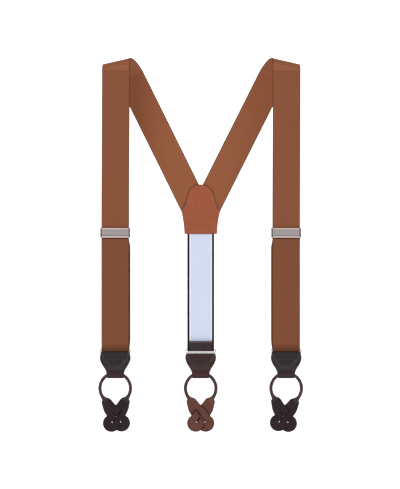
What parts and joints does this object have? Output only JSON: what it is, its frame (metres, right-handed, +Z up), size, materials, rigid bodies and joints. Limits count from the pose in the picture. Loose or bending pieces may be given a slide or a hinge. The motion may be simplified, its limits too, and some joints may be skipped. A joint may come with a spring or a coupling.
{
  "type": "suspenders",
  "caption": "Button-on suspenders in Y form: elastic webbing straps, slide adjusters, leather yoke, and leather ends with rolled cord loops and button tabs.",
  "frame": {"origin": "midway between the two shoulder loops, at the height where the front straps leave the shoulders", "axes": "+Z up as worn, +X across the wearer to the right of a viewer in front, front towards -Y"},
  "size_m": [0.2586, 0.0582, 0.4731],
  "materials": {
    "webbing": "woven, matte",
    "tan_leather": "fine grain, semi-gloss",
    "brown_leather": "smooth, semi-gloss",
    "elastic": "woven elastic, matte",
    "elastic_dark": "woven elastic, matte",
    "nickel": "bright nickel plate",
    "tan_thread": "waxed thread",
    "dark_thread": "waxed thread",
    "cotton": "twisted cotton"
  },
  "bodies": {
    "harness": {"back_elastic": "elastic", "shoulder_strap_left": "webbing", "shoulder_strap_right": "webbing", "yoke_inner_patch": "tan_leather", "yoke_outer_patch": "tan_leather", "yoke_stitching": "tan_thread"},
    "adjuster_left": {"adjuster_frame_left": "nickel", "adjuster_pivot_rod_left": "nickel", "adjuster_tail_bar_left": "nickel", "strap_tail_left": "webbing", "strap_tail_stitching_left": "tan_thread", "strap_front_layer_left": "webbing", "strap_return_layer_left": "webbing"},
    "lever_left": {"adjuster_lever_left": "nickel"},
    "strap_end_left": {"strap_fold_left": "webbing"},
    "adjuster_right": {"adjuster_frame_right": "nickel", "adjuster_pivot_rod_right": "nickel", "adjuster_tail_bar_right": "nickel", "strap_tail_right": "webbing", "strap_tail_stitching_right": "tan_thread", "strap_front_layer_right": "webbing", "strap_return_layer_right": "webbing"},
    "lever_right": {"adjuster_lever_right": "nickel"},
    "strap_end_right": {"strap_fold_right": "webbing"},
    "elastic_end": {"elastic_hem": "elastic_dark", "elastic_hem_stitching": "dark_thread"},
    "front_left_end": {"front_left_ring": "nickel", "front_left_leather_face": "brown_leather", "front_left_leather_backing": "brown_leather", "front_left_stitching": "dark_thread"},
    "front_left_loop": {"front_left_cord_cover": "brown_leather", "front_left_cord_core": "cotton", "front_left_slotted_tab": "brown_leather", "front_left_passing_tab": "brown_leather"},
    "front_right_end": {"front_right_ring": "nickel", "front_right_leather_face": "brown_leather", "front_right_leather_backing": "brown_leather", "front_right_stitching": "dark_thread"},
    "front_right_loop": {"front_right_cord_cover": "brown_leather", "front_right_cord_core": "cotton", "front_right_slotted_tab": "brown_leather", "front_right_passing_tab": "brown_leather"},
    "back_end": {"back_ring": "nickel", "back_leather_face": "brown_leather", "back_leather_backing": "brown_leather", "back_stitching": "dark_thread"},
    "back_loop": {"back_cord_cover": "brown_leather", "back_cord_core": "cotton", "back_slotted_tab": "brown_leather", "back_passing_tab": "brown_leather"}
  },
  "joints": [
    {"name": "adjuster_slide_left", "type": "slide", "parent": "harness", "child": "adjuster_left", "axis": [0, 0, -1], "range_m": [-0.14, 0.2]},
    {"name": "lever_hinge_left", "type": "hinge", "parent": "adjuster_left", "child": "lever_left", "pos_m": [-0.108, -0.02825, -0.20305], "axis": [-1, 0, 0], "range_deg": [0, 75]},
    {"name": "strap_shorten_left", "type": "slide", "parent": "adjuster_left", "child": "strap_end_left", "axis": [0, 0, 1], "range_m": [-0.07, 0.1], "deforming": ["strap_front_layer_left", "strap_return_layer_left"]},
    {"name": "end_swing_left", "type": "hinge", "parent": "strap_end_left", "child": "front_left_end", "pos_m": [-0.108, -0.02405, -0.3554], "axis": [1, 0, 0], "range_deg": [-80, 80]},
    {"name": "loop_turn_left", "type": "hinge", "parent": "front_left_end", "child": "front_left_loop", "pos_m": [-0.108, -0.02405, -0.4044], "axis": [0, 1, 0], "range_deg": [-20, 20]},
    {"name": "adjuster_slide_right", "type": "slide", "parent": "harness", "child": "adjuster_right", "axis": [0, 0, -1], "range_m": [-0.14, 0.2]},
    {"name": "lever_hinge_right", "type": "hinge", "parent": "adjuster_right", "child": "lever_right", "pos_m": [0.108, -0.02825, -0.20305], "axis": [-1, 0, 0], "range_deg": [0, 75]},
    {"name": "strap_shorten_right", "type": "slide", "parent": "adjuster_right", "child": "strap_end_right", "axis": [0, 0, 1], "range_m": [-0.07, 0.1], "deforming": ["strap_front_layer_right", "strap_return_layer_right"]},
    {"name": "end_swing_right", "type": "hinge", "parent": "strap_end_right", "child": "front_right_end", "pos_m": [0.108, -0.02405, -0.3554], "axis": [1, 0, 0], "range_deg": [-80, 80]},
    {"name": "loop_turn_right", "type": "hinge", "parent": "front_right_end", "child": "front_right_loop", "pos_m": [0.108, -0.02405, -0.4044], "axis": [0, 1, 0], "range_deg": [-20, 20]},
    {"name": "elastic_stretch", "type": "slide", "parent": "harness", "child": "elastic_end", "axis": [0, 0, -1], "range_m": [0, 0.06], "stiffness_N_per_m": 250, "deforming": ["back_elastic"]},
    {"name": "end_swing_back", "type": "hinge", "parent": "elastic_end", "child": "back_end", "pos_m": [0, 0.02422, -0.3554], "axis": [1, 0, 0], "range_deg": [-80, 80]},
    {"name": "loop_turn_back", "type": "hinge", "parent": "back_end", "child": "back_loop", "pos_m": [0, 0.02422, -0.4044], "axis": [0, 1, 0], "range_deg": [-20, 20]}
  ],
  "couplings": [
    {"joint": "strap_shorten_left", "follows": "adjuster_slide_left", "ratio": 0.5},
    {"joint": "strap_shorten_right", "follows": "adjuster_slide_right", "ratio": 0.5}
  ]
}
